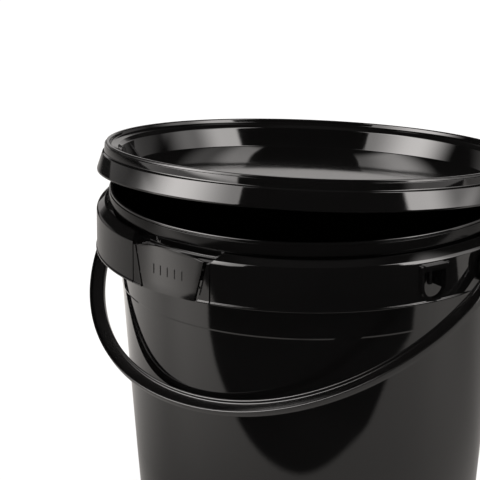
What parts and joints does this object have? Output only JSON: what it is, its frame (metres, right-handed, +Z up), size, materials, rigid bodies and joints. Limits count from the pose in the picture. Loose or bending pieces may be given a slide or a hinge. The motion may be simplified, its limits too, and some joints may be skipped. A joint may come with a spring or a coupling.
{
  "type": "lidded plastic bucket",
  "caption": "Small round bucket with a press-fit lid shown ajar, a collar with a tear tab, and a swinging bail.",
  "frame": {"origin": "centre of the foot ring on the floor the bucket stands on", "axes": "+Z up through the bucket; the tear tab faces -Y; the bail's pivot axis runs along X"},
  "size_m": [0.1444, 0.1338, 0.1375],
  "materials": {
    "bucket_plastic": "glossy black injection-moulded polypropylene",
    "tab_plastic": "black polypropylene, slightly duller",
    "lid_plastic": "glossy black injection-moulded polypropylene",
    "bail_plastic": "black polypropylene, satin sheen"
  },
  "bodies": {
    "bucket": {"bucket_body": "bucket_plastic"},
    "tab": {"tear_tab": "tab_plastic"},
    "lid": {"lid": "lid_plastic"},
    "bail": {"bail_handle": "bail_plastic"}
  },
  "joints": [
    {"name": "bail_swing", "type": "hinge", "parent": "bucket", "child": "bail", "pos_m": [0, 0, 0.1065], "axis": [-1, 0, 0], "range_deg": [0, 250]},
    {"name": "lid_lift", "type": "hinge", "parent": "bucket", "child": "lid", "pos_m": [-0.02575, 0.06126, 0.11205], "axis": [-0.9219, -0.3875, 0], "range_deg": [-6.7, 75]},
    {"name": "tab_tear", "type": "hinge", "parent": "bucket", "child": "tab", "pos_m": [0, -0.06675, 0.0989], "axis": [1, 0, 0], "range_deg": [0, 100]}
  ]
}
